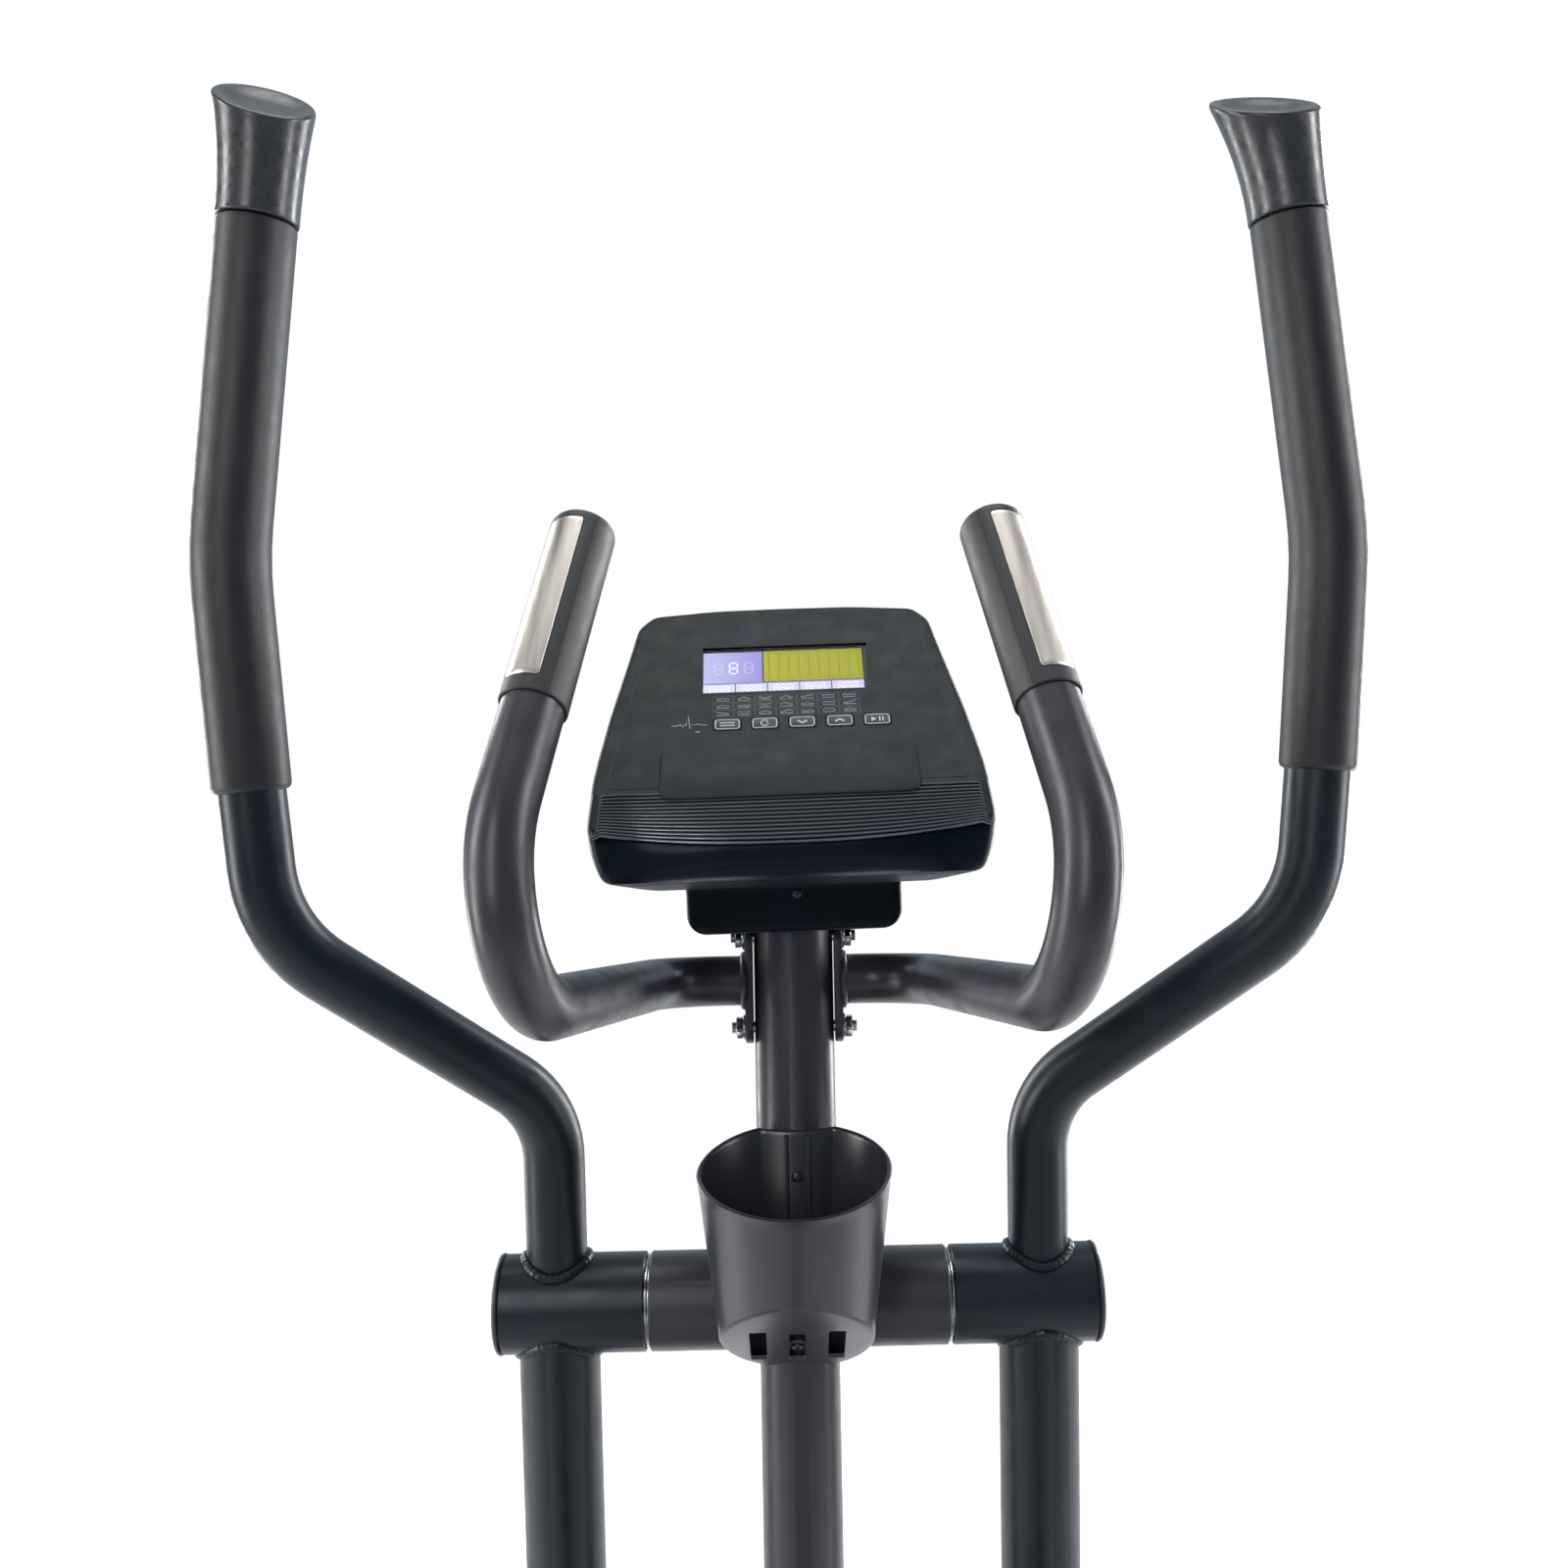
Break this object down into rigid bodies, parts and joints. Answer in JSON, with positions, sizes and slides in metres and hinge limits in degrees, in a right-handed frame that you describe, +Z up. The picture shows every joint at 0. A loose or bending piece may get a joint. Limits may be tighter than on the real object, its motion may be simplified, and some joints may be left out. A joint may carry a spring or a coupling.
{
  "type": "elliptical trainer",
  "caption": "Rear-drive elliptical trainer with swinging handles, fixed pulse bars, a console, a cup holder and foot plates on crank-driven arms.",
  "frame": {"origin": "on the floor, in the middle of the trainer's width and length", "axes": "+Z up; +Y forwards, from the user towards the mast; +X to the user's right"},
  "size_m": [0.683, 1.5, 1.6632],
  "materials": {
    "frame_paint": "satin powder coat",
    "arm_paint": "satin powder coat",
    "bright_steel": "zinc plated",
    "sensor_steel": "brushed",
    "console_face": "fine grain",
    "console_rear": "fine grain",
    "display_glass": "clear over a lit panel",
    "circuit_board": "solder mask",
    "cable_jacket": "matt",
    "key_rubber": "satin",
    "cup_plastic": "satin",
    "foot_plastic": "satin",
    "cap_plastic": "satin",
    "grip_foam": "closed-cell foam",
    "handle_cap_rubber": "glossy",
    "pulse_grip_rubber": "matt",
    "bearing_nylon": "natural",
    "wheel_rubber": "matt",
    "housing_plastic": "satin",
    "disc_plastic": "satin",
    "belt_rubber": "matt",
    "flywheel_iron": "machined rim",
    "motor_plastic": "matt",
    "pedal_plastic": "ribbed"
  },
  "bodies": {
    "frame": {"main_frame": "frame_paint", "front_stabilizer": "frame_paint", "rear_stabilizer": "frame_paint", "mast": "frame_paint", "left_pulse_bar": "frame_paint", "right_pulse_bar": "frame_paint", "pivot_axle": "bright_steel", "left_wave_washer": "bright_steel", "right_wave_washer": "bright_steel", "lower_pulse_bolt": "bright_steel", "upper_pulse_bolt": "bright_steel", "cup_screw": "bright_steel", "flywheel_axle": "bright_steel", "left_pulse_sensor": "sensor_steel", "right_pulse_sensor": "sensor_steel", "console_front_shell": "console_face", "console_back_shell": "console_rear", "console_lens": "display_glass", "console_board": "circuit_board", "console_cable": "cable_jacket", "cup_holder": "cup_plastic", "front_left_end_cap": "foot_plastic", "front_right_end_cap": "foot_plastic", "rear_left_end_cap": "foot_plastic", "rear_right_end_cap": "foot_plastic", "left_pulse_grip": "pulse_grip_rubber", "right_pulse_grip": "pulse_grip_rubber", "left_housing": "housing_plastic", "right_housing": "housing_plastic", "drive_belt": "belt_rubber", "tension_motor": "motor_plastic"},
    "crank": {"crank_axle": "bright_steel", "drive_pulley": "disc_plastic", "left_crank_disc": "disc_plastic", "right_crank_disc": "disc_plastic"},
    "flywheel": {"flywheel": "flywheel_iron"},
    "magnet_bracket": {"magnet_bracket": "frame_paint"},
    "left_arm": {"left_swing_arm": "arm_paint", "left_handle_grip": "grip_foam", "left_handle_cap": "handle_cap_rubber", "left_pivot_bushing": "bearing_nylon", "left_pivot_cap": "cap_plastic"},
    "left_pedal": {"left_pedal_arm": "arm_paint", "left_pedal": "pedal_plastic", "left_pedal_bolt": "bright_steel"},
    "left_wheel": {"left_transport_wheel": "wheel_rubber"},
    "right_arm": {"right_swing_arm": "arm_paint", "right_handle_grip": "grip_foam", "right_handle_cap": "handle_cap_rubber", "right_pivot_bushing": "bearing_nylon", "right_pivot_cap": "cap_plastic"},
    "right_pedal": {"right_pedal_arm": "arm_paint", "right_pedal": "pedal_plastic", "right_pedal_bolt": "bright_steel"},
    "right_wheel": {"right_transport_wheel": "wheel_rubber"},
    "mode_button": {"mode_key": "key_rubber"},
    "reset_button": {"reset_key": "key_rubber"},
    "down_button": {"down_key": "key_rubber"},
    "up_button": {"up_key": "key_rubber"},
    "start_button": {"start_key": "key_rubber"}
  },
  "joints": [
    {"name": "left_handle_swing", "type": "hinge", "parent": "frame", "child": "left_arm", "pos_m": [0, 0.545, 0.92], "axis": [1, 0, 0], "range_deg": [-13.2, 11.6]},
    {"name": "right_handle_swing", "type": "hinge", "parent": "frame", "child": "right_arm", "pos_m": [0, 0.545, 0.92], "axis": [1, 0, 0], "range_deg": [-11.6, 13.2]},
    {"name": "left_pedal_pivot", "type": "hinge", "parent": "left_arm", "child": "left_pedal", "pos_m": [-0.1533, 0.55477, 0.22007], "axis": [1, 0, 0], "range_deg": [-11.6, 13.2]},
    {"name": "right_pedal_pivot", "type": "hinge", "parent": "right_arm", "child": "right_pedal", "pos_m": [0.1533, 0.53523, 0.22007], "axis": [1, 0, 0], "range_deg": [-13.2, 11.6]},
    {"name": "crank_turn", "type": "hinge", "parent": "frame", "child": "crank", "pos_m": [0, -0.255, 0.3], "axis": [1, 0, 0], "continuous": true},
    {"name": "flywheel_turn", "type": "hinge", "parent": "frame", "child": "flywheel", "pos_m": [0, -0.51, 0.27], "axis": [1, 0, 0], "continuous": true},
    {"name": "magnet_bracket_hinge", "type": "hinge", "parent": "frame", "child": "magnet_bracket", "pos_m": [0.019, -0.4, 0.345], "axis": [1, 0, 0], "range_deg": [-8, 0]},
    {"name": "left_wheel_turn", "type": "hinge", "parent": "frame", "child": "left_wheel", "pos_m": [-0.252, 0.725, 0.031], "axis": [1, 0, 0], "continuous": true},
    {"name": "right_wheel_turn", "type": "hinge", "parent": "frame", "child": "right_wheel", "pos_m": [0.252, 0.725, 0.031], "axis": [1, 0, 0], "continuous": true},
    {"name": "mode_key_press", "type": "slide", "parent": "frame", "child": "mode_button", "axis": [0, 0.6955, -0.7185], "range_m": [0, 0.0005], "stiffness_N_per_m": 400, "springref_m": -0.0005},
    {"name": "reset_key_press", "type": "slide", "parent": "frame", "child": "reset_button", "axis": [0, 0.6955, -0.7185], "range_m": [0, 0.0005], "stiffness_N_per_m": 400, "springref_m": -0.0005},
    {"name": "down_key_press", "type": "slide", "parent": "frame", "child": "down_button", "axis": [0, 0.6955, -0.7185], "range_m": [0, 0.0005], "stiffness_N_per_m": 400, "springref_m": -0.0005},
    {"name": "up_key_press", "type": "slide", "parent": "frame", "child": "up_button", "axis": [0, 0.6955, -0.7185], "range_m": [0, 0.0005], "stiffness_N_per_m": 400, "springref_m": -0.0005},
    {"name": "start_key_press", "type": "slide", "parent": "frame", "child": "start_button", "axis": [0, 0.6955, -0.7185], "range_m": [0, 0.0005], "stiffness_N_per_m": 400, "springref_m": -0.0005}
  ],
  "couplings": [
    {"joint": "right_handle_swing", "follows": "left_handle_swing", "ratio": -1},
    {"joint": "left_pedal_pivot", "follows": "left_handle_swing", "ratio": -1},
    {"joint": "right_pedal_pivot", "follows": "left_handle_swing", "ratio": 1},
    {"joint": "flywheel_turn", "follows": "crank_turn", "ratio": 7.5}
  ]
}
